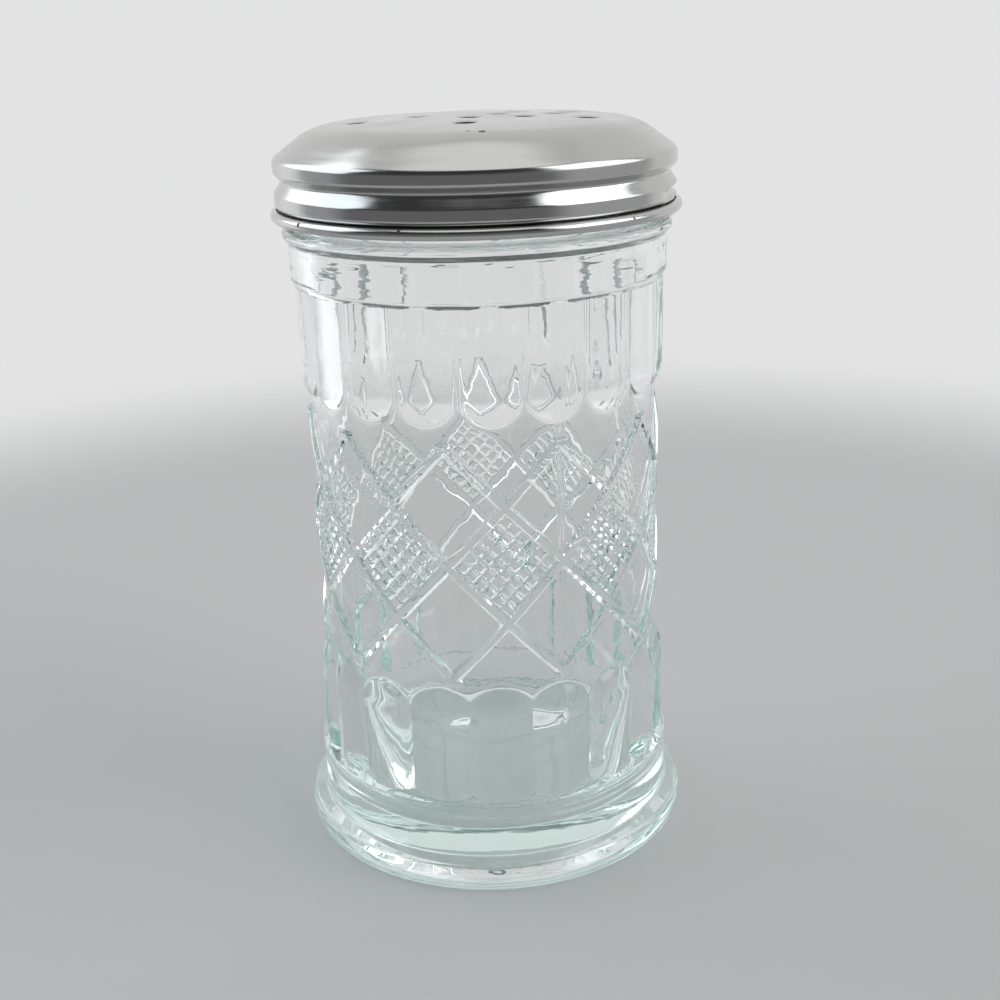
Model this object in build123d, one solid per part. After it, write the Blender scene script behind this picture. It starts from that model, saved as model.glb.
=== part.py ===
from build123d import *
from math import atan2, cos, degrees, radians, sin, sqrt, tan
import os

# Shaker for sugar or grated cheese: a pressed glass jar and a stamped, perforated screw lid.
# Millimetres, +Z up, origin in the middle of the rest plane, front towards -Y.
# An azimuth is measured in plan from the front towards +X, in degrees.
# "Proud" is a radial step over the plain wall of the body.

# Jar, main sizes
jar_height = 135.5            # rest plane to the sealing lip
ground_radius = 33.2          # plain outside of the body, between the pressed ornaments
mouth_wall = 1.6              # plain wall at the lip
floor_wall = 2.4              # and at the floor: the difference is the draft of the plunger
floor_thickness = 8.0
floor_corner = 7.0

# Jar, foot
foot_proud = 5.7
foot_height = 11.4
foot_edge_taper = 0.3         # the lowest edge lies this far inside the widest line
foot_edge_round = 2.2
foot_bulge_height = 4.1
foot_bulge_round = 9.0
foot_shoulder_height = 9.45
foot_shoulder_inset = 1.9
foot_shoulder_round = 7.0
foot_top_proud = 2.5
rest_face_width = 6.1
push_up = 1.6                 # hollow under the base
push_up_slope = 5.5           # width of the slope round the hollow

# Jar, waist and ring over the foot
waist_proud = 1.4
waist_height = 0.9
ring_proud = 2.55
ring_above_foot = 2.6
ring_height = 3.2
ring_slope = 2.2

# Jar, lip, neck, bead and collar, from the lip down
lip_outer_round = 0.9
lip_inner_round = 0.7
neck_proud = 1.1
neck_height = 14.1            # lip to bead
bead_proud = 3.1
bead_height = 2.55
bead_slope = 0.9
collar_proud = 2.2
collar_height = 8.25
collar_round = 1.9
thread_height = 1.0
thread_pitch = 5.08
thread_half_width = 1.3
thread_turns = 1.15
thread_above_bead = 4.2       # middle of the thread's low end

# Jar, two rows of convex gadroons: one stands on the ring, one hangs from the collar
gadroon_count = 18
gadroon_azimuth = 3.0         # middle of the one nearest the front
low_crest_proud = 1.8
low_half_angle = 10.6         # over half the pitch, so neighbours meet in a valley
low_gadroon_height = 25.5     # ring edge to the tips of the arches
high_crest_proud = 1.6
high_half_angle = 8.9         # under half the pitch, so a strip of plain wall stays
high_gadroon_height = 20.4    # collar to the tips of the round lower ends
high_gadroon_hidden = 4.6     # how far the upper ends run behind the collar

# Jar, lattice of crossing ribs between the gadroons
diamond_count = 10            # round the jar, in each of three staggered rows
diamond_azimuth = -12.0       # an upper corner of the top row
lattice_low_gap = 2.5         # arches to the lowest corners
lattice_high_gap = 3.8        # upper gadroons to the highest corners
rib_proud = 0.75
rib_width = 1.5
panel_proud = 0.4             # raised panels inside the diamonds of the outer two rows
panel_bevel = 2.3
ornament_root = 0.5           # how far the ornaments reach into the wall

# Lid, one piece of thin sheet
sheet = 0.4
seat_gap = 0.15               # shoulder over the lip's round
crown_rise = 4.3              # middle of the crown over the lip
crown_radius = 450.0
crown_inset = 9.5             # from the neck's outside to where the crown starts to turn down
crown_round = 12.0
shoulder_slope = 36.0         # degrees below level
shoulder_round = 1.5
thread_clearance = 0.2        # radial, ring groove of the lid to thread crest of the jar
groove_depth = 1.3
groove_below_lip = 5.65
groove_upper_flank = 1.3
groove_lower_flank = 2.1
groove_round = 0.7
lid_thread_azimuth = 58.0     # low end of the thread groove
lid_thread_sweep = 246.0
lid_thread_depth = 1.0
lid_thread_section = 1.1
lid_thread_above_rim = 2.55
rim_gap = 1.2                 # over the jar's bead
curl_radius = 1.0
curl_proud = 0.95             # over the skirt
curl_neck_round = 0.8
curl_turn = 280.0             # degrees of sheet in the curl

# Lid, round holes on six circles, each with its azimuths
hole_diameter = 3.8
hole_circle_1 = 4.9
hole_circle_2 = 10.4
hole_circle_3 = 15.0
hole_circle_4 = 18.7
hole_circle_5 = 21.5
hole_circle_6 = 24.2
hole_azimuths = [
    (hole_circle_1, (-8, 108)),
    (hole_circle_2, (-97, 61, 130)),
    (hole_circle_3, (-5, 96)),
    (hole_circle_4, (110,)),
    (hole_circle_5, (-78, 70, 174)),
    (hole_circle_6, (121, -133)),
]

# Worked out from the sizes above
foot_radius = ground_radius + foot_proud
ring_radius = ground_radius + ring_proud
neck_radius = ground_radius + neck_proud
bead_top = jar_height - neck_height
bead_bottom = bead_top - bead_height
collar_bottom = bead_bottom - collar_height
ring_low = foot_height + ring_above_foot
low_arch_top = ring_low + low_gadroon_height
high_arch_bottom = collar_bottom - high_gadroon_height
lattice_low = low_arch_top + lattice_low_gap
lattice_high = high_arch_bottom - lattice_high_gap
row_height = (lattice_high - lattice_low) / 4
ground_skin = ground_radius - ornament_root
rib_radius = ground_radius + rib_proud
panel_radius = ground_radius + panel_proud
skirt_radius = neck_radius + thread_height + thread_clearance + sheet + groove_depth
groove_height = jar_height - groove_below_lip
rim_height = bead_top + rim_gap + curl_radius


def at_azimuth(shape, azimuth):
    return Rot(0, 0, azimuth - 90) * shape


def around(shape, count, first):
    return [at_azimuth(shape, first + 360 / count * k) for k in range(count)]


def turned(corners):
    """Solid of revolution from corners of (radius, height, fillet), the ends on the axis."""
    points = [(r, z) for r, z, _ in corners]
    outline = FilletPolyline(*points, radius=[f for _, _, f in corners[1:-1]])
    face = make_face(Plane.XZ * (outline + Line(points[-1], points[0])))
    return revolve(face, Axis.Z)


def ring_wall(inner, outer, low, high):
    wall = Cylinder(outer, high - low) - Cylinder(inner, high - low)
    return Pos(0, 0, (low + high) / 2) * wall


def jar_blank():
    """The jar without its ornaments: up the outside, over the lip and down the inside."""
    rest_inner = foot_radius - foot_edge_taper - rest_face_width
    foot_shoulder = foot_radius - foot_shoulder_inset
    waist_radius = ground_radius + waist_proud
    bead_radius = ground_radius + bead_proud
    collar_radius = ground_radius + collar_proud
    return turned([
        (0, push_up, 0),
        (rest_inner - push_up_slope, push_up, 6),
        (rest_inner, 0, 2),
        (foot_radius - foot_edge_taper, 0, foot_edge_round),
        (foot_radius, foot_bulge_height, foot_bulge_round),
        (foot_shoulder, foot_shoulder_height, foot_shoulder_round),
        (ground_radius + foot_top_proud, foot_height, 0.7),
        (waist_radius, foot_height, 0.3),
        (waist_radius, foot_height + waist_height, 0.5),
        (ring_radius, ring_low, 1.0),
        (ring_radius, ring_low + ring_height, 1.2),
        (ground_radius, ring_low + ring_height + ring_slope, 1.5),
        (ground_radius, collar_bottom, 0.3),
        (collar_radius, collar_bottom, collar_round),
        (collar_radius, bead_bottom, 0.8),
        (bead_radius, bead_bottom + bead_slope, 0.8),
        (bead_radius, bead_top, 1.0),
        (neck_radius, bead_top, 0.6),
        (neck_radius, jar_height, lip_outer_round),
        (ground_radius - mouth_wall, jar_height, lip_inner_round),
        (ground_radius - floor_wall, floor_thickness, floor_corner),
        (0, floor_thickness, 0),
    ])


def gadroon(crest, half_angle, low, high):
    """A pad with round ends; low and high are the tips of its ends on the plain wall."""
    g = ground_radius
    c = cos(radians(half_angle))
    bulge = (g * g + crest * crest - 2 * g * crest * c) / (2 * (crest - g * c))
    centre = crest - bulge
    reach = sqrt(bulge ** 2 - (g - centre) ** 2)
    bottom, top = low + reach, high - reach
    side = Line((0, bottom - bulge), (0, top + bulge))
    lower = CenterArc((0, bottom), bulge, -90, 90)
    wall = Line((bulge, bottom), (bulge, top))
    upper = CenterArc((0, top), bulge, 0, 90)
    pill = revolve(make_face(Plane.XZ * (side + lower + wall + upper)), Axis.Z)
    return Pos(centre, 0, 0) * pill


def gadroon_rows():
    skin = ring_wall(ground_skin, foot_radius, foot_height, bead_bottom)
    low = gadroon(ground_radius + low_crest_proud, low_half_angle, ring_low, low_arch_top)
    high = gadroon(ground_radius + high_crest_proud, high_half_angle,
                   high_arch_bottom, collar_bottom + high_gadroon_hidden)
    pads = []
    for pad in (low, high):
        pads += around(pad & skin, gadroon_count, gadroon_azimuth)
    return pads


def diamond(reach, keep, middle_radius):
    """Four-sided face across the radius, its corners on the rib lines where keep is 1."""
    half_width = reach * tan(radians(180 / diamond_count)) * keep
    half_height = row_height * keep * reach / middle_radius
    corners = [(0, -half_height), (half_width, 0), (0, half_height), (-half_width, 0)]
    return Plane.YZ.offset(reach) * make_face(Polyline(*corners, close=True))


def inset_share(distance):
    """What is left of a diamond when its sides move in by a distance."""
    a = rib_radius * tan(radians(180 / diamond_count))
    b = row_height
    return 1 - distance * sqrt(a * a + b * b) / (a * b)


def diamond_cutter():
    """A wedge from the axis outwards; it leaves half a rib width on each side."""
    keep = inset_share(rib_width / 2)
    near = ground_skin * cos(radians(180 / diamond_count)) - 1
    return loft([diamond(r, keep, rib_radius) for r in (near, rib_radius + 1)], ruled=True)


def lattice():
    """Ribs left between the diamonds of five rows, the outer two only half used."""
    net = ring_wall(ground_skin, rib_radius, lattice_low - 0.5, lattice_high + 0.5)
    cutter = diamond_cutter()
    cutters = []
    for row in range(5):
        first = diamond_azimuth + (0 if row % 2 else 180 / diamond_count)
        lifted = Pos(0, 0, lattice_high - row * row_height) * cutter
        cutters += around(lifted, diamond_count, first)
    return net - cutters


def panels():
    """Bevelled panels in the first and third rows of whole diamonds."""
    foot_share = inset_share(rib_width / 2)
    top_share = inset_share(rib_width / 2 + panel_bevel)
    near = ground_radius * cos(radians(180 / diamond_count))
    wedge = loft([diamond(near, foot_share, near), diamond(panel_radius, top_share, panel_radius)],
                 ruled=True)
    one = wedge & ring_wall(ground_skin, panel_radius, -row_height, row_height)
    rows = []
    for row in (1, 3):
        lifted = Pos(0, 0, lattice_high - row * row_height) * one
        rows += around(lifted, diamond_count, diamond_azimuth)
    return rows


def helical_bead(radius, section, sweep, low_middle, azimuth):
    """A round-ended rod along a right-hand helix of the thread's pitch, rising from azimuth."""
    path = Helix(thread_pitch, thread_pitch * sweep / 360, radius)
    start, end = path @ 0, path @ 1
    profile = Plane(origin=start, z_dir=path % 0) * Circle(section)
    rod = sweep_along(profile, path) + [Pos(*start) * Sphere(section), Pos(*end) * Sphere(section)]
    return at_azimuth(Pos(0, 0, low_middle) * rod, azimuth)


def sweep_along(profile, path):
    return sweep(profile, path=path, is_frenet=True)


def glass_jar():
    thread_radius = neck_radius + thread_height - thread_half_width
    thread = helical_bead(thread_radius, thread_half_width, 360 * thread_turns,
                          bead_top + thread_above_bead, lid_thread_azimuth)
    inside = Cylinder(ground_radius - mouth_wall / 2, 3 * jar_height)
    return jar_blank() + gadroon_rows() + lattice() + panels() + (thread - inside)


def ring_groove(middle):
    """Corners of the ring groove, a lopsided V that gets a round bottom."""
    upper = atan2(groove_depth, groove_upper_flank)
    lower = atan2(groove_depth, groove_lower_flank)
    deep = groove_depth + groove_round * (cos((upper - lower) / 2) / cos((upper + lower) / 2) - 1)
    return [(middle, groove_height + deep / tan(upper)), (middle - deep, groove_height),
            (middle, groove_height - deep / tan(lower))]


def lid_middle():
    """Middle line of the sheet in section, from the axis to the free edge of the curl."""
    middle = skirt_radius - sheet / 2
    top = jar_height + crown_rise
    crown_edge = neck_radius - crown_inset
    crown = JernArc((0, top), (1, 0), crown_radius, -degrees(crown_edge / crown_radius))
    edge, way = crown @ 1, crown % 1
    # the shoulder line lies a sheet and the seat gap off the round of the lip
    a = radians(shoulder_slope)
    round_r, round_z = neck_radius - lip_outer_round, jar_height - lip_outer_round
    off = lip_outer_round + seat_gap + sheet / 2
    fall = way.Y / way.X
    corner_r = (off + round_r * sin(a)) / cos(a) + round_z - edge.Y + fall * edge.X
    corner_r /= fall + tan(a)
    corner = (corner_r, edge.Y + fall * (corner_r - edge.X))
    shoulder = (middle, round_z + (off - (middle - round_r) * sin(a)) / cos(a))
    curl = curl_radius - sheet / 2
    curl_middle = skirt_radius + curl_proud - curl_radius
    neck = curl_middle - curl
    line = FilletPolyline(
        (edge.X, edge.Y), corner, shoulder,
        *ring_groove(middle),
        (middle, rim_height + 2 * curl_radius),
        (neck, rim_height + curl_radius),
        (neck, rim_height),
        radius=[crown_round, shoulder_round, groove_round, groove_round, groove_round,
                curl_neck_round, curl_neck_round / 2])
    return crown + line + CenterArc((curl_middle, rim_height), curl, 180, curl_turn)


def lid_shell():
    section = offset(lid_middle(), sheet / 2, side=Side.BOTH)
    half = Pos(skirt_radius, jar_height) * Rectangle(2 * skirt_radius, jar_height)
    face = make_face(section) & half
    return revolve(Plane.XZ * face, Axis.Z)


def lid_thread(section):
    radius = skirt_radius - lid_thread_depth + lid_thread_section
    return helical_bead(radius, section, lid_thread_sweep,
                        rim_height + lid_thread_above_rim, lid_thread_azimuth)


def lid_core():
    """All that lies inside the middle of the skirt's sheet, over the rim."""
    middle = skirt_radius - sheet / 2
    line = FilletPolyline((middle, jar_height), *ring_groove(middle), (middle, rim_height),
                          radius=groove_round)
    ends = Polyline((middle, rim_height), (0, rim_height), (0, jar_height), (middle, jar_height))
    return revolve(Plane.XZ * make_face(line + ends), Axis.Z)


def screw_lid():
    shell = lid_shell() + (lid_thread(lid_thread_section + sheet) & lid_core())
    shell = shell - lid_thread(lid_thread_section)
    drill = Pos(0, 0, jar_height) * Cylinder(hole_diameter / 2, 4 * crown_rise)
    holes = [at_azimuth(Pos(r, 0, 0) * drill, a) for r, row in hole_azimuths for a in row]
    return shell - holes


if __name__ == "__main__":
    os.makedirs("parts", exist_ok=True)
    for name, piece in (("glass_jar", glass_jar()), ("screw_lid", screw_lid())):
        print(name, piece.is_valid, round(piece.volume / 1000, 1), "cm3", len(piece.faces()))
        export_step(piece, f"parts/{name}.step")
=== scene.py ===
from math import radians

import bpy
import numpy as np
from mathutils import Matrix


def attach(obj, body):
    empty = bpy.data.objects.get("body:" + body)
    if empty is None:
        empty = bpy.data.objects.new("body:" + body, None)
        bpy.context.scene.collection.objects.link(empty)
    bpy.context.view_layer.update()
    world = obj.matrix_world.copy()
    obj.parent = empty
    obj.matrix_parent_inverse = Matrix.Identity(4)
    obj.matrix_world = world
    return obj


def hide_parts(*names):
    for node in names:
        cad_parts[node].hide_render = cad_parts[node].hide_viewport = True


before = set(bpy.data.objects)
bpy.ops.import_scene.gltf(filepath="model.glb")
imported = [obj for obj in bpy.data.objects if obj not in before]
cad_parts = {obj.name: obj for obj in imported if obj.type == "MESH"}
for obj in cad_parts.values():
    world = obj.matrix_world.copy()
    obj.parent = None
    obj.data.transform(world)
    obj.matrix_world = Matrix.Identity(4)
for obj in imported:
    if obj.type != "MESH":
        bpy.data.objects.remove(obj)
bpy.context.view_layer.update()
print("frame loaded:", sorted(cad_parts))

# Everything below is in millimetres until a mesh is made; the meshes are in metres.
mm = 0.001
creaseAngle = 30  # degrees; sharper folds stay sharp in the shading
diagonalTie = 0.03  # radii closer than this count as equal when a cell is cut in two


def smoothStep(x):
    # 0 below 0 and 1 above 1; between them three times the square less twice the cube
    t = np.clip(x, 0.0, 1.0)
    return t * t * (3 - 2 * t)


def roundedPath(corners, arcSteps=5):
    # corners of (radius, height, fillet); each inner corner becomes an arc that touches both
    # of its lines, sampled at equal turns; returns an array of (radius, height) points
    points = [np.array(corners[0][:2], float)]
    for before, here, after in zip(corners[:-2], corners[1:-1], corners[2:]):
        corner = np.array(here[:2], float)
        toBefore = np.array(before[:2], float) - corner
        toAfter = np.array(after[:2], float) - corner
        toBefore /= np.linalg.norm(toBefore)
        toAfter /= np.linalg.norm(toAfter)
        half = np.arccos(np.clip(toBefore @ toAfter, -1, 1)) / 2
        if here[2] <= 0 or half > 1.55:  # no fillet asked for, or hardly a corner
            points.append(corner)
            continue
        reach = here[2] / np.tan(half)
        middle = (toBefore + toAfter) / np.linalg.norm(toBefore + toAfter)
        centre = corner + middle * here[2] / np.sin(half)
        start = corner + toBefore * reach - centre
        end = corner + toAfter * reach - centre
        turn = np.arctan2(start[0] * end[1] - start[1] * end[0], start @ end)
        angles = np.linspace(0, turn, arcSteps + 1)
        c, s = np.cos(angles), np.sin(angles)
        points += list(centre + np.stack([c * start[0] - s * start[1],
                                          s * start[0] + c * start[1]], 1))
    points.append(np.array(corners[-1][:2], float))
    return np.array(points)


def splitLong(points, longest):
    # adds points on the straight runs of a path, so that no step is longer than longest,
    # which is one number or one for each step
    made = [points[:1]]
    limits = np.broadcast_to(longest, len(points) - 1)
    for a, b, limit in zip(points[:-1], points[1:], limits):
        n = max(1, int(np.ceil(np.linalg.norm(b - a) / limit)))
        made.append(a + (b - a) * (np.arange(1, n + 1) / n)[:, None])
    return np.concatenate(made)


def bandFaces(first, rows, columns, radius):
    # triangles of a grid that closes round the axis; each cell is cut along the diagonal
    # whose two ends differ clearly less in radius, so that slanting ridges stay sharp
    i, j = np.meshgrid(np.arange(rows - 1), np.arange(columns), indexing="ij")
    k = (j + 1) % columns
    a, b = first + i * columns + j, first + i * columns + k
    c, d = b + columns, a + columns
    r = radius.reshape(-1)
    ra, rb, rc, rd = (r[x - first] for x in (a, b, c, d))
    rising = (np.abs(ra - rc) <= np.abs(rb - rd) + diagonalTie)[..., None]
    one = np.where(rising, np.stack([a, b, c], -1), np.stack([a, b, d], -1))
    two = np.where(rising, np.stack([a, c, d], -1), np.stack([b, c, d], -1))
    return np.concatenate([one.reshape(-1, 3), two.reshape(-1, 3)])


def zipFaces(lowFirst, lowCount, highFirst, highCount):
    # triangles between two rings of different counts that start at the same azimuth:
    # each vertex, taken in order of angle, makes one triangle with the last one of each ring
    low, high = np.arange(lowCount), np.arange(highCount)
    lastHigh = np.searchsorted(high / highCount, (low + 1) / lowCount, side="right") - 1
    lastLow = np.searchsorted(low / lowCount, (high + 1) / highCount, side="left") - 1
    lastHigh = np.minimum(lastHigh, highCount)
    one = np.stack([lowFirst + low, lowFirst + (low + 1) % lowCount,
                    highFirst + lastHigh % highCount], 1)
    closing = (low + 1) == lowCount
    one[closing, 2] = highFirst
    two = np.stack([lowFirst + lastLow % lowCount, highFirst + (high + 1) % highCount,
                    highFirst + high], 1)
    return np.concatenate([one, two])


def makeMesh(name, points, faces, body, material, replaced):
    # points in mm; the object stays at the origin, with its place in its mesh
    mesh = bpy.data.meshes.new(name)
    mesh.from_pydata((points * mm).tolist(), [], faces.tolist())
    mesh.update()
    mesh.polygons.foreach_set("use_smooth", np.ones(len(mesh.polygons), bool))
    mesh.set_sharp_from_angle(angle=radians(creaseAngle))
    mesh.materials.append(material)
    thing = bpy.data.objects.new(name, mesh)
    bpy.context.scene.collection.objects.link(thing)
    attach(thing, body)
    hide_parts(replaced)
    print(name, len(points), "points", len(faces), "triangles")


def newMaterial(name):
    material = bpy.data.materials.new(name)
    material.use_nodes = True
    material.node_tree.nodes.clear()
    return material, material.node_tree.nodes, material.node_tree.links


def addNode(nodes, kind, settings=None, **attributes):
    # settings are socket values, attributes the node's own choices
    node = nodes.new(kind)
    for key, value in attributes.items():
        setattr(node, key, value)
    for key, value in (settings or {}).items():
        node.inputs[key].default_value = value
    return node


# Lengths in mm and angles in degrees; azimuth runs from the front (-Y) towards +X.
jar = {
    "height": 135.5, "groundRadius": 33.2, "lipRound": 0.9, "mouthRound": 0.8,
    "footRadius": 38.84, "footRim": 5.2, "footRimRadius": 38.2, "ledge": 6.1,
    "footTuck": 0.3, "footWidest": 0.62,  # the widest place, as a share of the rim's height
    "restInner": 32.5, "pushUp": 1.6, "pushUpRadius": 27.0,
    "ringRadius": 35.75, "ringHigh": 16.7, "ringSlope": 1.1,
    "collarBottom": 110.6, "collarRadius": 35.4, "collarRound": 1.9,
    "beadBottom": 118.85, "beadRise": 0.9, "beadTop": 121.4, "beadRadius": 36.3,
    "neckRadius": 34.3, "mouthRadius": 31.6,
    "floorRadius": 30.8, "floor": 8.0, "floorCorner": 7.0,
    "threadProud": 1.0, "threadHalf": 1.3, "threadPitch": 5.08, "threadTurns": 1.15,
    "threadStart": 125.6, "threadAzimuth": 58.0,
    "seamAzimuth": 24.0, "seamProud": 0.11, "seamHalf": 0.45,
    # the two rows of pads, half hidden in the wall
    "pads": 18, "padAzimuth": 3.0,
    "lowCrest": 35.0, "lowHalfAngle": 10.6, "lowTip": 14.0, "lowTop": 39.5,
    "highCrest": 34.8, "highHalfAngle": 8.9, "highBottom": 90.2, "highTip": 115.2,
    "valleyBlend": 0.30,
    # the net of slanting ribs, with fields of studs in one row of its diamonds
    "diamonds": 10, "netAzimuth": -12.0, "netTop": 86.4, "rowHeight": 11.1, "netRows": 4,
    "netOverrun": 0.06, "ribProud": 0.8, "ribFlat": 0.55, "ribFoot": 1.05,
    "studRow": 2, "studs": 6, "studHeight": 0.5, "studSlope": 0.55, "studEdge": 0.86,
    # how fine the mesh is; a span of rings is its lowest height, its highest and their number
    "turnedColumns": 120, "wallColumns": 360, "netColumns": 540, "collarColumns": 240,
    "neckColumns": 180, "neckRings": 20, "collarRoundRings": 9,
    "lowRings": [(16.84, 17.94, 8), (18.4, 19.2, 2), (20.6, 20.6, 1), (23.4, 33.4, 4),
                 (34.2, 40.2, 14)],
    "netSteps": 27, "netMargin": 2,  # rings to a row of the net, and beyond it on both sides
    "highRings": [(88.2, 89.6, 3), (90.0, 95.2, 12), (98.0, 109.5, 3), (110.35, 110.5, 2)],
    "collarFrom": 115.5, "cornerBlend": 0.12,
}


def padRadius(azimuth, height, crest, halfAngle, low, high):
    # a pad is a round bar with ball ends, sunk in the wall: the bar's radius follows from the
    # crest and from where its sides meet the wall (law of cosines)
    g = jar["groundRadius"]
    c = np.cos(radians(halfAngle))
    bulge = (g * g + crest * crest - 2 * g * crest * c) / (2 * (crest - g * c))
    centre = crest - bulge
    reach = np.sqrt(bulge ** 2 - (g - centre) ** 2)
    off = np.clip(low + reach - height, 0, None) + np.clip(height - (high - reach), 0, None)
    pitch = 360 / jar["pads"]
    side = np.radians((azimuth - jar["padAzimuth"] + pitch / 2) % pitch - pitch / 2)
    inside = bulge ** 2 - off ** 2 - (centre * np.sin(side)) ** 2
    return np.where(inside > 0, centre * np.cos(side) + np.sqrt(np.clip(inside, 0, None)), 0)


def softMax(a, b, blend):
    # the larger of the two, with the corner between them filled by half of blend
    return (a + b + np.sqrt((a - b) ** 2 + blend ** 2)) / 2


def latticeHeight(azimuth, height):
    # distances to the two families of slanting ribs give the ribs, and inside the diamonds
    # of the middle row a field of cut-off pyramids
    half = 180 / jar["diamonds"]
    u = (azimuth - jar["netAzimuth"]) / half
    v = (jar["netTop"] - height) / jar["rowHeight"]
    a = jar["groundRadius"] * radians(half)
    unit = a * jar["rowHeight"] / np.hypot(a, jar["rowHeight"])
    p, q = (u + v) / 2, (u - v) / 2
    fromP = np.abs(p - np.round(p)) * 2 * unit
    fromQ = np.abs(q - np.round(q)) * 2 * unit
    near = np.minimum(fromP, fromQ)
    rib = np.clip((jar["ribFoot"] - near) / (jar["ribFoot"] - jar["ribFlat"]), 0, 1)
    row = np.floor(p) - np.floor(q)  # where the diamond's middle is, counted from the top
    cell = (2 * unit - 2 * jar["studEdge"]) / jar["studs"]
    studs = []
    for part in (p, q):
        along = (part - np.floor(part)) * 2 * unit - jar["studEdge"]
        inCell = along - np.floor(along / cell) * cell
        studs.append(np.minimum(inCell, cell - inCell))
    stud = np.clip(np.minimum(*studs) / jar["studSlope"], 0, 1) * jar["studHeight"]
    stud = np.where(near > jar["studEdge"] - 0.001, stud, 0)
    body = np.where(row == jar["studRow"], stud, 0.0)
    inNet = (v > -jar["netOverrun"]) & (v < jar["netRows"] + jar["netOverrun"])
    return np.where(inNet, np.maximum(rib * jar["ribProud"], body), 0.0)


def seamHeight(azimuth, radius):
    # the fine ridges where the two halves of the mould met
    away = (azimuth - jar["seamAzimuth"] + 90) % 180 - 90
    return jar["seamProud"] * np.clip(
        1 - np.abs(np.radians(away)) * radius / jar["seamHalf"], 0, 1)


def jarWall(azimuth, height):
    # the wall's radius: the plain ground and the pads, whichever is larger, joined softly,
    # and on that the ribs and studs or the seams, whichever is higher
    g = jar["groundRadius"]
    low = padRadius(azimuth, height, jar["lowCrest"], jar["lowHalfAngle"],
                    jar["lowTip"], jar["lowTop"])
    high = padRadius(azimuth, height, jar["highCrest"], jar["highHalfAngle"],
                     jar["highBottom"], jar["highTip"])
    plain = softMax(np.maximum(low, high), g, jar["valleyBlend"])
    return plain + np.maximum(latticeHeight(azimuth, height), seamHeight(azimuth, g))


def wallRows():
    # heights of the wall's rings: close where a form ends, far apart along straight pads,
    # and in the net as many to a row as there are columns to half a diamond
    step = jar["rowHeight"] / jar["netSteps"]
    low = np.concatenate([np.linspace(*span) for span in jar["lowRings"]])
    below = jar["netRows"] * jar["netSteps"] + jar["netMargin"]
    net = jar["netTop"] - step * np.arange(-jar["netMargin"], below)[::-1]
    high = np.concatenate([np.linspace(*span) for span in jar["highRings"]])
    return low, net, high


def jarPaths():
    # the turned parts in section, as corners of radius, height and fillet
    foot = splitLong(roundedPath([
        (0, jar["pushUp"], 0), (jar["pushUpRadius"], jar["pushUp"], 6),
        (jar["restInner"], 0, 2), (jar["footRadius"] - jar["footTuck"], 0, 1.6),
        (jar["footRadius"], jar["footRim"] * jar["footWidest"], 4),
        (jar["footRimRadius"], jar["footRim"], 0.9), (jar["ringRadius"], jar["ledge"], 0.5),
        (jar["ringRadius"], jar["ringHigh"], 0.35),
        (jar["groundRadius"], jar["ringHigh"] + jar["ringSlope"], 0)], 4), 5)
    collar = roundedPath([
        (jar["collarRadius"], jar["collarFrom"], 0),
        (jar["collarRadius"], jar["beadBottom"], 0.8),
        (jar["beadRadius"], jar["beadBottom"] + jar["beadRise"], 0.8),
        (jar["beadRadius"], jar["beadTop"], 1.0),
        (jar["neckRadius"], jar["beadTop"], 0.6), (jar["neckRadius"], jar["beadTop"] + 1.2, 0)], 3)
    # the inside narrows a little on the way down
    slope = (jar["mouthRadius"] - jar["floorRadius"]) / (jar["height"] - jar["floor"])
    lip = roundedPath([
        (jar["neckRadius"], jar["height"] - 1.1, 0),
        (jar["neckRadius"], jar["height"], jar["lipRound"]),
        (jar["mouthRadius"], jar["height"], jar["mouthRound"]),
        (jar["mouthRadius"] - slope * 1.1, jar["height"] - 1.1, 0)], 5)
    inner = splitLong(roundedPath([
        (jar["mouthRadius"] - slope * 1.4, jar["height"] - 1.4, 0),
        (jar["floorRadius"], jar["floor"], jar["floorCorner"]), (0, jar["floor"], 0)], 8), 10)
    return foot, collar, lip, inner


def columnAzimuths(columns):
    # every ring starts at a corner of the net, so that rings of different counts can be joined
    return jar["netAzimuth"] + np.arange(columns) * 360 / columns


def neckRadii(heights):
    # the thread is a round-ended bead that climbs round the neck for a little over one turn:
    # a circle's arc, wherever its middle line is nearer than half its width
    azimuth = columnAzimuths(jar["neckColumns"])
    turn = 360 * jar["threadTurns"]
    centre = jar["neckRadius"] + jar["threadProud"] - jar["threadHalf"]
    radius = np.full((len(heights), len(azimuth)), jar["neckRadius"])
    for lap in (0, 1):
        along = (azimuth - jar["threadAzimuth"]) % 360 + 360 * lap
        run = np.clip(along, 0, turn)
        ends = np.radians(along - run) * jar["neckRadius"]
        away = heights[:, None] - (jar["threadStart"] + jar["threadPitch"] * run / 360)
        off = np.hypot(away, ends)
        bead = centre + np.sqrt(np.clip(jar["threadHalf"] ** 2 - off ** 2, 0, None))
        radius = np.maximum(radius, np.where(off < jar["threadHalf"], bead, 0))
    return radius


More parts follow.
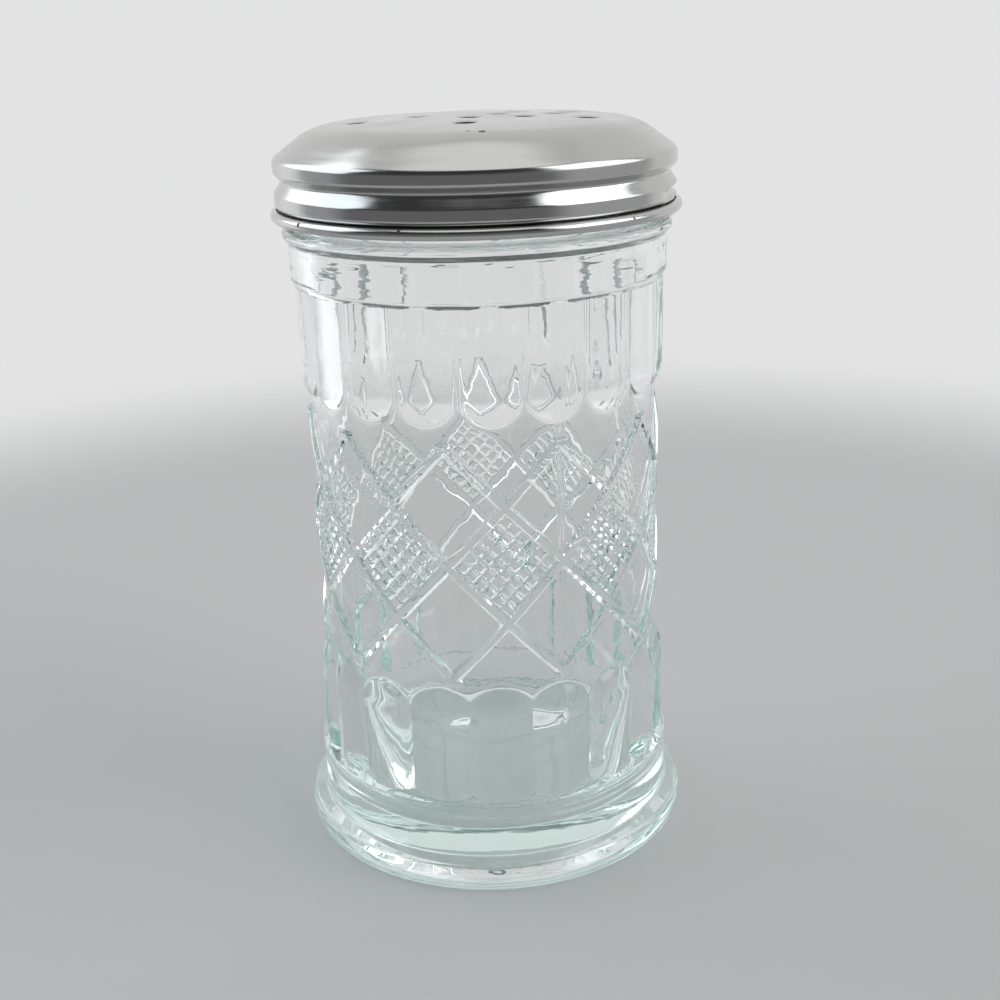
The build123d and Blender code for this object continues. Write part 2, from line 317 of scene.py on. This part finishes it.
def buildJar(material):
    # one closed skin of rings, each a radius for every azimuth: from the push-up out round
    # the foot, up the outside, over the lip and down the inside to the floor
    points, faces, rings = [], [], []

    def addRings(radius, height, columns):
        # radius and height are arrays of rings by columns
        angle = np.radians(columnAzimuths(columns) - 90)
        first = sum(len(p) for p in points)
        x, y = radius * np.cos(angle), radius * np.sin(angle)
        points.append(np.stack([x, y, height + 0 * x], -1).reshape(-1, 3))
        if len(radius) > 1:
            faces.append(bandFaces(first, len(radius), columns, radius))
        rings.append((first, len(radius), columns))

    def turnedRings(path, columns, seam=False):
        ridge = seamHeight(columnAzimuths(columns), jar["groundRadius"])[None, :] if seam else 0
        addRings(path[:, :1] + ridge + np.zeros((1, columns)), path[:, 1:], columns)

    def wallRings(heights, columns, under=None):
        radius = jarWall(columnAzimuths(columns)[None, :], heights[:, None])
        if under is not None:
            radius = softMax(radius, under[:, None], jar["cornerBlend"])
        addRings(radius, heights[:, None], columns)

    foot, collar, lip, inner = jarPaths()
    low, net, high = wallRows()
    turnedRings(foot[1:-1], jar["turnedColumns"])
    # the wall rises out of the ring's sloping top, and runs into the collar's rounded foot
    slopeLine = jar["ringRadius"] - (low - jar["ringHigh"]) * (
        (jar["ringRadius"] - jar["groundRadius"]) / jar["ringSlope"])
    wallRings(low, jar["wallColumns"], np.maximum(slopeLine, 0))
    wallRings(net, jar["netColumns"])
    wallRings(high, jar["wallColumns"])
    bend = np.radians(np.linspace(0, 90, jar["collarRoundRings"]))
    wallRings(jar["collarBottom"] + jar["collarRound"] * (1 - np.cos(bend)), jar["wallColumns"],
              jar["collarRadius"] - jar["collarRound"] * (1 - np.sin(bend)))
    turnedRings(collar, jar["collarColumns"], seam=True)
    neck = np.linspace(jar["beadTop"] + 1.5, jar["height"] - 1.2, jar["neckRings"])
    addRings(neckRadii(neck), neck[:, None], jar["neckColumns"])
    turnedRings(lip, jar["turnedColumns"])
    turnedRings(inner[:-1], jar["turnedColumns"])
    for one, two in zip(rings[:-1], rings[1:]):
        lastRing = one[0] + (one[1] - 1) * one[2]
        faces.append(zipFaces(lastRing, one[2], two[0], two[2]))
    # fans close the push-up under the base and the floor inside
    count = sum(len(p) for p in points)
    points.append(np.array([[0, 0, jar["pushUp"]], [0, 0, jar["floor"]]], float))
    columns = jar["turnedColumns"]
    here = np.arange(columns)
    after = (here + 1) % columns
    last = rings[-1][0] + (rings[-1][1] - 1) * columns
    faces.append(np.stack([after, here, np.full(columns, count)], 1))
    faces.append(np.stack([last + here, last + after, np.full(columns, count + 1)], 1))
    makeMesh("jar_glass", np.concatenate(points), np.concatenate(faces),
             "jar", material, "glass_jar")


lid = {
    "sheet": 0.4, "crownRise": 4.3, "crownRadius": 450.0, "crownEdge": 24.8,
    "crownRound": 12.0, "slope": 36.0, "shoulderRound": 1.5, "seatGap": 0.15,
    "skirtRadius": 37.2, "grooveDepth": 1.3, "grooveBelowLip": 5.65, "grooveUpper": 1.3,
    "grooveLower": 2.1, "grooveRound": 0.7, "threadAzimuth": 58.0, "threadSweep": 246.0,
    "threadDepth": 1.0, "threadSection": 1.1, "threadStart": 126.15, "threadPitch": 5.08,
    "threadRunIn": 14.0, "rimBelowLip": 11.9, "curlRadius": 1.0, "curlProud": 0.95,
    "curlTurn": 280.0, "lobes": 8, "lobeAzimuth": 4.0, "lobeDepth": 0.16,
    "lobeFrom": 22.0, "lobeRise": 8.0, "lobeFall": 2.5,
    "threadZone": (1.5, 10.4, 2.4),  # highest and lowest under the lip, and depth in the skirt
    "holeRadius": 1.9, "holeDip": 0.22, "holeDipWidth": 0.9, "holesWithin": 27.5,
    "holes": [(4.9, -8), (4.9, 108), (10.4, -97), (10.4, 61), (10.4, 130), (15.0, -5),
              (15.0, 96), (18.7, 110), (21.5, -78), (21.5, 70), (21.5, 174), (24.2, 121),
              (24.2, -133)],  # distance from the axis, azimuth
    # how fine the mesh is: the longest steps down the sheet, and the reach of a hole's circle
    "columns": 360, "crownRings": 60, "curlRings": 14, "holeStep": 0.45, "slopeStep": 1.6,
    "skirtStep": 0.65, "snap": 0.23,
}


def lidPath():
    # the middle line of the sheet in section, from near the axis down to the curled edge
    middle = lid["skirtRadius"] - lid["sheet"] / 2
    top = jar["height"] + lid["crownRise"]
    edgeAngle = lid["crownEdge"] / lid["crownRadius"]
    angles = np.linspace(0.1 / lid["crownRadius"], edgeAngle, lid["crownRings"])
    crown = np.stack([lid["crownRadius"] * np.sin(angles),
                      top - lid["crownRadius"] * (1 - np.cos(angles))], 1)
    edge = crown[-1]
    # the slope is a straight line that clears the lip's rounding by the seat gap; its corners
    # are where it meets the crown's tangent and the skirt
    a = radians(lid["slope"])
    roundR, roundZ = jar["neckRadius"] - jar["lipRound"], jar["height"] - jar["lipRound"]
    off = jar["lipRound"] + lid["seatGap"] + lid["sheet"] / 2
    fall = -np.tan(edgeAngle)
    cornerR = (off + roundR * np.sin(a)) / np.cos(a) + roundZ - edge[1] + fall * edge[0]
    cornerR /= fall + np.tan(a)
    corner = (cornerR, edge[1] + fall * (cornerR - edge[0]))
    shoulderZ = roundZ + (off - (middle - roundR) * np.sin(a)) / np.cos(a)
    groove = jar["height"] - lid["grooveBelowLip"]
    rim = jar["height"] - lid["rimBelowLip"]
    # a rounded corner falls short of its point, so the groove's corner lies deeper
    upper = np.arctan2(lid["grooveDepth"], lid["grooveUpper"])
    lower = np.arctan2(lid["grooveDepth"], lid["grooveLower"])
    deep = lid["grooveDepth"] + lid["grooveRound"] * (
        np.cos((upper - lower) / 2) / np.cos((upper + lower) / 2) - 1)
    curl = lid["curlRadius"] - lid["sheet"] / 2
    curlMiddle = lid["skirtRadius"] + lid["curlProud"] - lid["curlRadius"]
    neck = curlMiddle - curl
    # starts on the crown's own slope; the first two points lie on the crown already
    line = roundedPath([
        (edge[0] * 0.98, edge[1] - fall * edge[0] * 0.02, 0), (*corner, lid["crownRound"]),
        (middle, shoulderZ, lid["shoulderRound"]),
        (middle, groove + deep / np.tan(upper), lid["grooveRound"]),
        (middle - deep, groove, lid["grooveRound"]),
        (middle, groove - deep / np.tan(lower), lid["grooveRound"]),
        (middle, rim + 2 * lid["curlRadius"], 0.8), (neck, rim + lid["curlRadius"], 0.4),
        (neck, rim, 0)], 6)
    turn = np.radians(180 + np.linspace(0, lid["curlTurn"], lid["curlRings"] + 1)[1:])
    hook = np.stack([curlMiddle + curl * np.cos(turn), rim + curl * np.sin(turn)], 1)
    path = np.concatenate([crown[:-1], line[2:], hook])
    # close rings where the holes are, wide ones on the slope, middling on the skirt
    coarse = np.where(path[1:, 1] > shoulderZ, lid["slopeStep"], lid["skirtStep"])
    return splitLong(path, np.where(path[1:, 0] < lid["holesWithin"], lid["holeStep"],
                                    coarse))


def buildLid(material):
    # the sheet's middle line is carried round the axis as a grid of rings by azimuths, then
    # pressed in by the thread, lowered by the lobes and pierced, and given its two skins
    columns = lid["columns"]
    path = lidPath()
    way = np.gradient(path, axis=0)
    way /= np.linalg.norm(way, axis=1)[:, None]
    normal = np.stack([-way[:, 1], way[:, 0]], 1)  # outwards on the way down
    azimuth = np.arange(columns) * 360 / columns
    angle = np.radians(azimuth - 90)
    radius = np.repeat(path[:, :1], columns, 1)
    height = np.repeat(path[:, 1:], columns, 1)
    # the rolled thread: a round-bottomed groove that climbs round the skirt and fades in
    highest, lowest, deepest = lid["threadZone"]
    skirt = (radius > lid["skirtRadius"] - deepest) & (height > jar["height"] - lowest) & (
        height < jar["height"] - highest)
    along = (azimuth - lid["threadAzimuth"]) % 360
    over = np.where(along > (360 + lid["threadSweep"]) / 2, along - 360, along)
    run = np.clip(over, 0, lid["threadSweep"])
    ends = np.radians(over - run) * lid["skirtRadius"]
    away = height - (lid["threadStart"] + lid["threadPitch"] * run / 360)
    off = np.hypot(away, ends)
    axisR = lid["skirtRadius"] - lid["threadDepth"] + lid["threadSection"]
    bottom = axisR - np.sqrt(np.clip(lid["threadSection"] ** 2 - off ** 2, 0, None))
    dent = np.where(skirt & (off < lid["threadSection"]),
                    np.clip(radius + lid["sheet"] / 2 - bottom, 0, None), 0)
    dent = dent * smoothStep(over / lid["threadRunIn"])
    # shallow lobes pressed round the shoulder
    middle = lid["skirtRadius"] - lid["sheet"] / 2
    lobe = smoothStep((radius - lid["lobeFrom"]) / lid["lobeRise"]) * smoothStep(
        (middle - radius) / lid["lobeFall"])
    lobe = np.where(height > jar["height"] - 1, lobe, 0)  # not on the skirt
    swing = np.cos(np.radians(lid["lobes"] * (azimuth - lid["lobeAzimuth"])))
    height = height - lobe * lid["lobeDepth"] * (1 - swing) / 2
    radius = radius - dent
    x, y = radius * np.cos(angle), radius * np.sin(angle)
    # holes: the sheet sinks a little towards each rim, and the grid is drawn to a true circle
    # there before the faces inside are left out
    top = (path[:, 0] < lid["holesWithin"] + 1)[:, None]
    centres = [(r * np.cos(radians(a - 90)), r * np.sin(radians(a - 90)))
               for r, a in lid["holes"]]
    for cx, cy in centres:
        apart = np.hypot(x - cx, y - cy)
        sink = smoothStep(1 - (apart - lid["holeRadius"]) / lid["holeDipWidth"])
        height = np.where(top, height - lid["holeDip"] * sink, height)
    opened = np.zeros(x.shape, bool)
    for cx, cy in centres:
        apart = np.maximum(np.hypot(x - cx, y - cy), 1e-6)
        opened |= (apart < lid["holeRadius"] - lid["snap"]) & top
        snap = (np.abs(apart - lid["holeRadius"]) <= lid["snap"]) & top
        x = np.where(snap, cx + (x - cx) * lid["holeRadius"] / apart, x)
        y = np.where(snap, cy + (y - cy) * lid["holeRadius"] / apart, y)
    # the two skins lie half the sheet's thickness to either side of the middle line
    half = lid["sheet"] / 2
    nr = np.repeat(normal[:, :1], columns, 1)
    nz = np.repeat(normal[:, 1:], columns, 1)
    outer = np.stack([x + half * nr * np.cos(angle), y + half * nr * np.sin(angle),
                      height + half * nz], -1).reshape(-1, 3)
    inner = np.stack([x - half * nr * np.cos(angle), y - half * nr * np.sin(angle),
                      height - half * nz], -1).reshape(-1, 3)
    rows = len(path)
    outside = bandFaces(0, rows, columns, height)[:, ::-1]
    kept = ~opened.reshape(-1)[outside].any(1)
    outside = outside[kept]
    here = np.arange(columns)
    fan = np.stack([here, (here + 1) % columns, np.full(columns, rows * columns)], 1)
    points = np.concatenate([outer, [[0, 0, path[0, 1] + half]]])
    outside = np.concatenate([outside, fan])
    inside = outside[:, ::-1] + len(points)
    points = np.concatenate([points, inner, [[0, 0, path[0, 1] - half]]])
    # the edges that one face alone uses are the rims: each gets a strip to the other skin
    edges = np.concatenate([outside[:, [0, 1]], outside[:, [1, 2]], outside[:, [2, 0]]])
    key = np.sort(edges, 1)
    _, index, times = np.unique(key, axis=0, return_index=True, return_counts=True)
    rim = edges[index[times == 1]]
    shift = rows * columns + 1
    strip = np.concatenate([
        np.stack([rim[:, 1], rim[:, 0], rim[:, 0] + shift], 1),
        np.stack([rim[:, 1], rim[:, 0] + shift, rim[:, 1] + shift], 1)])
    faces = np.concatenate([outside, inside, strip])
    used = np.unique(faces)
    renumber = np.zeros(len(points), int)
    renumber[used] = np.arange(len(used))
    makeMesh("lid_steel", points[used], renumber[faces],
             "lid", material, "screw_lid")


glass = {
    "colour": (0.985, 0.995, 0.99, 1), "roughness": 0.012, "ior": 1.52,
    "depthColour": (0.66, 0.93, 0.85, 1), "density": 7.0, "shadowColour": (0.80, 0.84, 0.83, 1),
    "waveScale": 110.0, "rippleScale": (45.0, 45.0, 420.0), "bump": 0.35, "bumpDepth": 0.0004,
    "collarZone": (0.107, 0.114), "collarRipple": 1.6,  # heights in metres
    "footZone": (0.016, 0.020), "footRipple": 0.25, "footCalm": 0.3,
}


def glassMaterial():
    material, nodes, links = newMaterial("clear_pressed_glass")
    out = addNode(nodes, "ShaderNodeOutputMaterial")
    shader = addNode(nodes, "ShaderNodeBsdfPrincipled", {
        "Base Color": glass["colour"], "Roughness": glass["roughness"], "IOR": glass["ior"],
        "Transmission Weight": 1.0})
    absorb = addNode(nodes, "ShaderNodeVolumeAbsorption",
                     {"Color": glass["depthColour"], "Density": glass["density"]})
    # the pressed surface is a little wavy, less so on the foot, and has ripples that run
    # round the collar, the neck and the foot
    place = addNode(nodes, "ShaderNodeTexCoord")
    wave = addNode(nodes, "ShaderNodeTexNoise", {"Scale": glass["waveScale"], "Detail": 2.5})
    stretch = addNode(nodes, "ShaderNodeMapping", {"Scale": glass["rippleScale"]})
    ripple = addNode(nodes, "ShaderNodeTexNoise", {"Scale": 1.0, "Detail": 2.0})
    where = addNode(nodes, "ShaderNodeSeparateXYZ")

    def zone(heights, below, above):
        return addNode(nodes, "ShaderNodeMapRange", {
            "From Min": heights[0], "From Max": heights[1], "To Min": below, "To Max": above})

    upper = zone(glass["collarZone"], 0.0, glass["collarRipple"])
    lower = zone(glass["footZone"], glass["footRipple"], 0.0)
    calm = zone(glass["footZone"], glass["footCalm"], 1.0)
    ends = addNode(nodes, "ShaderNodeMath", operation="ADD")
    calmed = addNode(nodes, "ShaderNodeMath", operation="MULTIPLY")
    scaled = addNode(nodes, "ShaderNodeMath", operation="MULTIPLY")
    both = addNode(nodes, "ShaderNodeMath", operation="ADD")
    bump = addNode(nodes, "ShaderNodeBump", {"Strength": glass["bump"],
                                             "Distance": glass["bumpDepth"]})
    for node in (wave, stretch, where):
        links.new(place.outputs["Object"], node.inputs["Vector"])
    links.new(stretch.outputs["Vector"], ripple.inputs["Vector"])
    for node in (upper, lower, calm):
        links.new(where.outputs["Z"], node.inputs["Value"])
    links.new(upper.outputs["Result"], ends.inputs[0])
    links.new(lower.outputs["Result"], ends.inputs[1])
    links.new(ripple.outputs["Fac"], scaled.inputs[0])
    links.new(ends.outputs[0], scaled.inputs[1])
    links.new(wave.outputs["Fac"], calmed.inputs[0])
    links.new(calm.outputs["Result"], calmed.inputs[1])
    links.new(calmed.outputs[0], both.inputs[0])
    links.new(scaled.outputs[0], both.inputs[1])
    links.new(both.outputs[0], bump.inputs["Height"])
    links.new(bump.outputs["Normal"], shader.inputs["Normal"])
    # lamps shine through, with a light shadow
    path = addNode(nodes, "ShaderNodeLightPath")
    clear = addNode(nodes, "ShaderNodeBsdfTransparent", {"Color": glass["shadowColour"]})
    mix = addNode(nodes, "ShaderNodeMixShader")
    links.new(path.outputs["Is Shadow Ray"], mix.inputs["Fac"])
    links.new(shader.outputs["BSDF"], mix.inputs[1])
    links.new(clear.outputs["BSDF"], mix.inputs[2])
    links.new(mix.outputs["Shader"], out.inputs["Surface"])
    links.new(absorb.outputs["Volume"], out.inputs["Volume"])
    return material


steel = {
    # the second colour is painted shade, near black, for the hole walls
    "colour": (0.55, 0.55, 0.54, 1), "holeShadeColour": (0.05, 0.045, 0.04, 1),
    "rustColour": (0.17, 0.10, 0.06, 1), "rustRoughness": 0.6, "rustReach": 1.25,
    "roughness": (0.09, 0.27), "smudgeScale": 120.0, "streakScale": (25.0, 25.0, 1600.0),
    "rustScale": 1500.0, "crownLevel": 0.1362,  # in metres; steep faces above are hole edges
    "rust": [(-30.7, -23.1, 124.3, 0.9), (1.6, -27.7, 138.8, 0.8), (-0.7, -27.2, 139.0, 0.5),
             (1.9, -32.0, 136.4, 0.4), (-12.5, -35.9, 124.4, 0.5), (27.0, -27.2, 124.2, 0.6),
             (-6.5, 37.5, 124.3, 0.8)],  # x, y, z, radius
}


def steelMaterial():
    material, nodes, links = newMaterial("bright_plated_steel")
    out = addNode(nodes, "ShaderNodeOutputMaterial")
    shader = addNode(nodes, "ShaderNodeBsdfPrincipled", {"Metallic": 1.0})
    place = addNode(nodes, "ShaderNodeTexCoord")
    # smudges, and streaks that run round the lid
    smudge = addNode(nodes, "ShaderNodeTexNoise", {
        "Scale": steel["smudgeScale"], "Detail": 6.0, "Roughness": 0.6})
    stretch = addNode(nodes, "ShaderNodeMapping", {"Scale": steel["streakScale"]})
    streak = addNode(nodes, "ShaderNodeTexNoise", {"Scale": 1.0, "Detail": 3.0})
    both = addNode(nodes, "ShaderNodeMath", operation="ADD")
    rough = addNode(nodes, "ShaderNodeMapRange", {
        "From Min": 0.7, "From Max": 1.3,
        "To Min": steel["roughness"][0], "To Max": steel["roughness"][1]})
    links.new(place.outputs["Object"], smudge.inputs["Vector"])
    links.new(place.outputs["Object"], stretch.inputs["Vector"])
    links.new(stretch.outputs["Vector"], streak.inputs["Vector"])
    links.new(smudge.outputs["Fac"], both.inputs[0])
    links.new(streak.outputs["Fac"], both.inputs[1])
    links.new(both.outputs[0], rough.inputs["Value"])
    # the hole walls get painted shade, a near-black colour with a dull finish: steep faces high up
    # on the crown
    shape = addNode(nodes, "ShaderNodeNewGeometry")
    facing = addNode(nodes, "ShaderNodeSeparateXYZ")
    where = addNode(nodes, "ShaderNodeSeparateXYZ")
    flat = addNode(nodes, "ShaderNodeMath", operation="ABSOLUTE")
    steep = addNode(nodes, "ShaderNodeMath", {1: 0.5}, operation="LESS_THAN")
    high = addNode(nodes, "ShaderNodeMath", {1: steel["crownLevel"]}, operation="GREATER_THAN")
    edge = addNode(nodes, "ShaderNodeMath", operation="MULTIPLY")
    links.new(shape.outputs["True Normal"], facing.inputs["Vector"])
    links.new(place.outputs["Object"], where.inputs["Vector"])
    links.new(facing.outputs["Z"], flat.inputs[0])
    links.new(flat.outputs[0], steep.inputs[0])
    links.new(where.outputs["Z"], high.inputs[0])
    links.new(steep.outputs[0], edge.inputs[0])
    links.new(high.outputs[0], edge.inputs[1])
    # a few small spots of rust, ragged by noise
    ragged = addNode(nodes, "ShaderNodeTexNoise", {"Scale": steel["rustScale"], "Detail": 3.0})
    links.new(place.outputs["Object"], ragged.inputs["Vector"])
    spots = None
    for x, y, z, size in steel["rust"]:
        apart = addNode(nodes, "ShaderNodeVectorMath", operation="DISTANCE")
        apart.inputs[1].default_value = (x * mm, y * mm, z * mm)
        share = addNode(nodes, "ShaderNodeMath", {1: size * mm}, operation="DIVIDE")
        worn = addNode(nodes, "ShaderNodeMath", operation="ADD")
        inside = addNode(nodes, "ShaderNodeMath", {1: steel["rustReach"]},
                         operation="LESS_THAN")
        links.new(place.outputs["Object"], apart.inputs[0])
        links.new(apart.outputs["Value"], share.inputs[0])
        links.new(share.outputs[0], worn.inputs[0])
        links.new(ragged.outputs["Fac"], worn.inputs[1])
        links.new(worn.outputs[0], inside.inputs[0])
        if spots is not None:
            more = addNode(nodes, "ShaderNodeMath", operation="MAXIMUM")
            links.new(spots, more.inputs[0])
            links.new(inside.outputs[0], more.inputs[1])
            inside = more
        spots = inside.outputs[0]
    # painted shade: the mask turns the hole walls near black, and the rust spots go over that
    holeShaded = addNode(nodes, "ShaderNodeMix", data_type="RGBA")
    holeShaded.inputs[6].default_value = steel["colour"]
    holeShaded.inputs[7].default_value = steel["holeShadeColour"]
    rusty = addNode(nodes, "ShaderNodeMix", data_type="RGBA")
    rusty.inputs[7].default_value = steel["rustColour"]
    dull = addNode(nodes, "ShaderNodeMath", operation="MAXIMUM")
    finish = addNode(nodes, "ShaderNodeMix")
    finish.inputs[3].default_value = steel["rustRoughness"]
    links.new(edge.outputs[0], holeShaded.inputs[0])
    links.new(spots, rusty.inputs[0])
    links.new(holeShaded.outputs[2], rusty.inputs[6])
    links.new(rusty.outputs[2], shader.inputs["Base Color"])
    links.new(edge.outputs[0], dull.inputs[0])
    links.new(spots, dull.inputs[1])
    links.new(dull.outputs[0], finish.inputs[0])
    links.new(rough.outputs["Result"], finish.inputs[2])
    links.new(finish.outputs[0], shader.inputs["Roughness"])
    links.new(shader.outputs["BSDF"], out.inputs["Surface"])
    return material


def floorMaterial():
    # pale, and fading into the wall's light away from the object
    material, nodes, links = newMaterial("pale_floor")
    out = addNode(nodes, "ShaderNodeOutputMaterial")
    shader = addNode(nodes, "ShaderNodeBsdfPrincipled", {
        "Base Color": stage["floorColour"], "Roughness": 0.7, "Specular IOR Level": 0.2})
    clear = addNode(nodes, "ShaderNodeBsdfTransparent")
    place = addNode(nodes, "ShaderNodeTexCoord")
    away = addNode(nodes, "ShaderNodeVectorMath", operation="LENGTH")
    fade = addNode(nodes, "ShaderNodeMapRange", {
        "From Min": stage["floorClear"], "From Max": stage["floorRadius"]},
        interpolation_type="SMOOTHSTEP")
    mix = addNode(nodes, "ShaderNodeMixShader")
    links.new(place.outputs["Object"], away.inputs[0])
    links.new(away.outputs["Value"], fade.inputs["Value"])
    links.new(fade.outputs["Result"], mix.inputs["Fac"])
    links.new(shader.outputs["BSDF"], mix.inputs[1])
    links.new(clear.outputs["BSDF"], mix.inputs[2])
    links.new(mix.outputs["Shader"], out.inputs["Surface"])
    return material


stage = {
    "floorColour": (0.52, 0.52, 0.515, 1), "floorClear": 0.24, "floorRadius": 0.42,
    "floorSides": 96,
    "sensor": 36.0, "focal": 1.3952,  # focal length as a share of the picture's width
    "cameraAt": (0.00269, -0.2642, 0.1564), "pitch": 19.02, "roll": -1.77,
    "bounces": 28,  # light crosses many glass surfaces
    "dimRoom": (0.05, 0.05, 0.053),
    "panels": [  # azimuth from the camera's side towards +X, half width, lowest and highest
        # elevation, softness, in degrees, and colour
        (180, 66, -45, 60, 16, (0.72, 0.72, 0.72)),   # pale wall behind
        (0, 118, -45, 16, 24, (0.13, 0.13, 0.132)),   # the rest of the room
        (80, 32, -45, 14, 20, (0.30, 0.30, 0.305)),   # walls below the windows
        (-112, 30, -45, 14, 20, (0.26, 0.27, 0.28)),
        (78, 29, 13, 56, 9, (2.6, 2.68, 2.72)),       # large window on the right
        (-108, 30, 13, 52, 9, (1.6, 1.75, 1.85)),     # cooler window on the left
        (0, 190, 62, 100, 14, (1.0, 1.0, 0.985)),     # ceiling
    ],
}


def buildFloor():
    # a round floor with the object at its middle
    sides = stage["floorSides"]
    turn = np.arange(sides) * 2 * np.pi / sides
    ring = np.stack([np.cos(turn), np.sin(turn), 0 * turn], 1) * stage["floorRadius"]
    mesh = bpy.data.meshes.new("floor")
    mesh.from_pydata(ring.tolist(), [], [list(range(sides))])
    mesh.materials.append(floorMaterial())
    floor = bpy.data.objects.new("floor", mesh)
    bpy.context.scene.collection.objects.link(floor)


def buildWorld():
    # soft panels of light painted round the sky by azimuth and elevation
    world = bpy.data.worlds.new("studio")
    bpy.context.scene.world = world
    world.use_nodes = True
    nodes, links = world.node_tree.nodes, world.node_tree.links
    nodes.clear()
    out = addNode(nodes, "ShaderNodeOutputWorld")
    shade = addNode(nodes, "ShaderNodeBackground", {"Strength": 1.0})
    place = addNode(nodes, "ShaderNodeTexCoord")
    split = addNode(nodes, "ShaderNodeSeparateXYZ")
    links.new(place.outputs["Generated"], split.inputs["Vector"])

    def maths(operation, first, second=None, third=None):
        node = addNode(nodes, "ShaderNodeMath", operation=operation)
        for socket, value in zip(node.inputs, (first, second, third)):
            if isinstance(value, (int, float)):
                socket.default_value = value
            elif value is not None:
                links.new(value, socket)
        return node.outputs[0]

    def edge(value, start, end):
        # 0 at start and 1 at end, smooth between them
        node = addNode(nodes, "ShaderNodeMapRange", {"From Min": start, "From Max": end},
                       interpolation_type="SMOOTHSTEP")
        links.new(value, node.inputs["Value"])
        return node.outputs["Result"]

    elevation = maths("MULTIPLY", maths("ARCSINE", split.outputs["Z"]), 180 / np.pi)
    azimuth = maths("MULTIPLY", maths(
        "ARCTAN2", split.outputs["X"], maths("MULTIPLY", split.outputs["Y"], -1.0)), 180 / np.pi)
    total = None
    for middle, halfWidth, low, high, soft, colour in stage["panels"]:
        off = maths("ABSOLUTE", maths("WRAP", maths("SUBTRACT", azimuth, float(middle)),
                                      180.0, -180.0))
        amount = maths("MULTIPLY", edge(off, halfWidth + soft / 2, halfWidth - soft / 2),
                       maths("MULTIPLY", edge(elevation, low - soft / 2, low + soft / 2),
                             edge(elevation, high + soft / 2, high - soft / 2)))
        scaled = addNode(nodes, "ShaderNodeVectorMath", operation="SCALE")
        scaled.inputs[0].default_value = colour
        links.new(amount, scaled.inputs["Scale"])
        more = addNode(nodes, "ShaderNodeVectorMath", operation="ADD")
        links.new(scaled.outputs["Vector"], more.inputs[0])
        if total is None:
            more.inputs[1].default_value = stage["dimRoom"]
        else:
            links.new(total, more.inputs[1])
        total = more.outputs["Vector"]
    links.new(total, shade.inputs["Color"])
    links.new(shade.outputs["Background"], out.inputs["Surface"])


def buildCamera():
    # pitched down towards the object and a little rolled
    camera = bpy.data.cameras.new("camera")
    camera.sensor_width, camera.lens = stage["sensor"], stage["focal"] * stage["sensor"]
    camera.clip_start = 0.01
    thing = bpy.data.objects.new("camera", camera)
    bpy.context.scene.collection.objects.link(thing)
    thing.matrix_world = (Matrix.Translation(stage["cameraAt"])
                          @ Matrix.Rotation(radians(90 - stage["pitch"]), 4, "X")
                          @ Matrix.Rotation(radians(stage["roll"]), 4, "Z"))
    bpy.context.scene.camera = thing


buildJar(glassMaterial())
buildLid(steelMaterial())
buildFloor()
buildWorld()
buildCamera()
scene = bpy.context.scene
scene.view_settings.view_transform = "Standard"
scene.cycles.max_bounces = stage["bounces"]
scene.cycles.transmission_bounces = stage["bounces"]
scene.cycles.glossy_bounces = stage["bounces"]
print("stage, lamps and camera placed")
